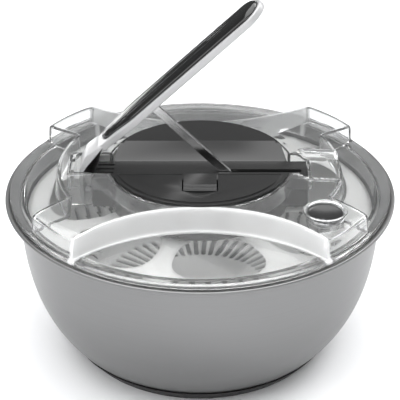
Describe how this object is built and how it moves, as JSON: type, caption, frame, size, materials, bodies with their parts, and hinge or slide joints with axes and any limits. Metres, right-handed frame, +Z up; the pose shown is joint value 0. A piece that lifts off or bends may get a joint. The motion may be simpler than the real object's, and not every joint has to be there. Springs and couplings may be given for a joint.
{
  "type": "salad spinner",
  "caption": "Lever salad spinner: steel mixing bowl, spinning basket, clear lid with gear unit, raised drive lever with link, and brake button.",
  "frame": {"origin": "centre of the base pad's lower face, on the bowl's axis", "axes": "+Z up along the bowl's axis; the lever swings in the XZ plane with its hinge at -X and its tip towards +X; the brake button is on the front (-Y), right-hand side"},
  "size_m": [0.264, 0.264, 0.2529],
  "materials": {
    "bowl_steel": "satin, turned",
    "pin_steel": "polished",
    "link_steel": "polished",
    "base_rubber": "matte",
    "brake_rubber": "matte",
    "black_gloss": "satin gloss",
    "lid_clear": "clear, polished, see-through",
    "basket_frosted": "translucent, satin",
    "lever_grey": "satin",
    "gear_nylon": "matte"
  },
  "bodies": {
    "bowl": {"bowl": "bowl_steel", "base_pad": "base_rubber"},
    "basket": {"basket": "basket_frosted", "basket_pivot": "gear_nylon", "inner_cover": "basket_frosted"},
    "lid": {"lid_shell": "lid_clear", "housing_top": "black_gloss", "housing_base": "black_gloss", "base_screw_1": "pin_steel", "base_screw_2": "pin_steel", "base_screw_3": "pin_steel", "base_screw_4": "pin_steel", "hinge_cradle": "lid_clear", "hinge_pin": "pin_steel", "output_bearing": "pin_steel", "idler_shaft": "pin_steel", "rack_guide": "gear_nylon", "brake_collar": "lid_clear", "return_spring": "pin_steel", "brake_spring": "pin_steel"},
    "lever": {"lever_frame": "lever_grey", "lever_grip": "black_gloss", "link_pin_upper": "pin_steel"},
    "link": {"link_bar": "link_steel", "link_pin_lower": "pin_steel"},
    "rack": {"rack": "gear_nylon"},
    "rack_pinion": {"rack_pinion": "gear_nylon", "pinion_shaft": "pin_steel", "clutch_sleeve": "pin_steel"},
    "drive_gear": {"drive_gear": "gear_nylon"},
    "idler_gear": {"idler_gear": "gear_nylon"},
    "output": {"output_shaft": "pin_steel", "output_pinion": "gear_nylon"},
    "brake": {"brake_cap": "black_gloss", "brake_plunger": "basket_frosted", "brake_pad": "brake_rubber"},
    "catch": {"cover_catch": "black_gloss"}
  },
  "joints": [
    {"name": "basket_spin", "type": "hinge", "parent": "bowl", "child": "basket", "pos_m": [0, 0, 0], "axis": [0, 0, 1], "continuous": true},
    {"name": "lid_lift", "type": "slide", "parent": "bowl", "child": "lid", "axis": [0, 0, 1], "range_m": [0, 0.12]},
    {"name": "lever_hinge", "type": "hinge", "parent": "lid", "child": "lever", "pos_m": [-0.075, 0, 0.12], "axis": [0, 1, 0], "range_deg": [0, 30], "stiffness_Nm_per_rad": 0.9, "springref_deg": -34.38, "deforming": ["return_spring"]},
    {"name": "link_top", "type": "hinge", "parent": "lever", "child": "link", "pos_m": [-0.03357, 0, 0.17862], "axis": [0, 1, 0], "range_deg": [-54.5, 0]},
    {"name": "link_bottom", "type": "hinge", "parent": "link", "child": "rack", "pos_m": [0.0225, 0, 0.122], "axis": [0, 1, 0], "range_deg": [0, 24.5]},
    {"name": "rack_pinion_spin", "type": "hinge", "parent": "lid", "child": "rack_pinion", "pos_m": [0.015, -0.01535, 0.115], "axis": [0, 0, 1], "range_deg": [-276, 0]},
    {"name": "drive_gear_spin", "type": "hinge", "parent": "lid", "child": "drive_gear", "pos_m": [0.015, -0.01535, 0.112], "axis": [0, 0, 1], "continuous": true},
    {"name": "idler_spin", "type": "hinge", "parent": "lid", "child": "idler_gear", "pos_m": [-0.01016, -0.02284, 0.11], "axis": [0, 0, 1], "continuous": true},
    {"name": "output_spin", "type": "hinge", "parent": "lid", "child": "output", "pos_m": [0, 0, 0.106], "axis": [0, 0, 1], "continuous": true},
    {"name": "brake_press", "type": "slide", "parent": "lid", "child": "brake", "axis": [0, 0, -1], "range_m": [0, 0.003], "stiffness_N_per_m": 350, "springref_m": -0.002, "deforming": ["brake_spring"]},
    {"name": "catch_slide", "type": "slide", "parent": "lid", "child": "catch", "axis": [0, 1, 0], "range_m": [0, 0.005]}
  ],
  "couplings": [
    {"joint": "link_top", "follows": "lever_hinge", "ratio": -1.812},
    {"joint": "link_bottom", "follows": "lever_hinge", "ratio": 0.812},
    {"joint": "rack_pinion_spin", "follows": "lever_hinge", "ratio": -9.193},
    {"joint": "idler_spin", "follows": "basket_spin", "ratio": -0.33333},
    {"joint": "drive_gear_spin", "follows": "basket_spin", "ratio": 0.10417},
    {"joint": "output_spin", "follows": "basket_spin", "ratio": 1}
  ]
}
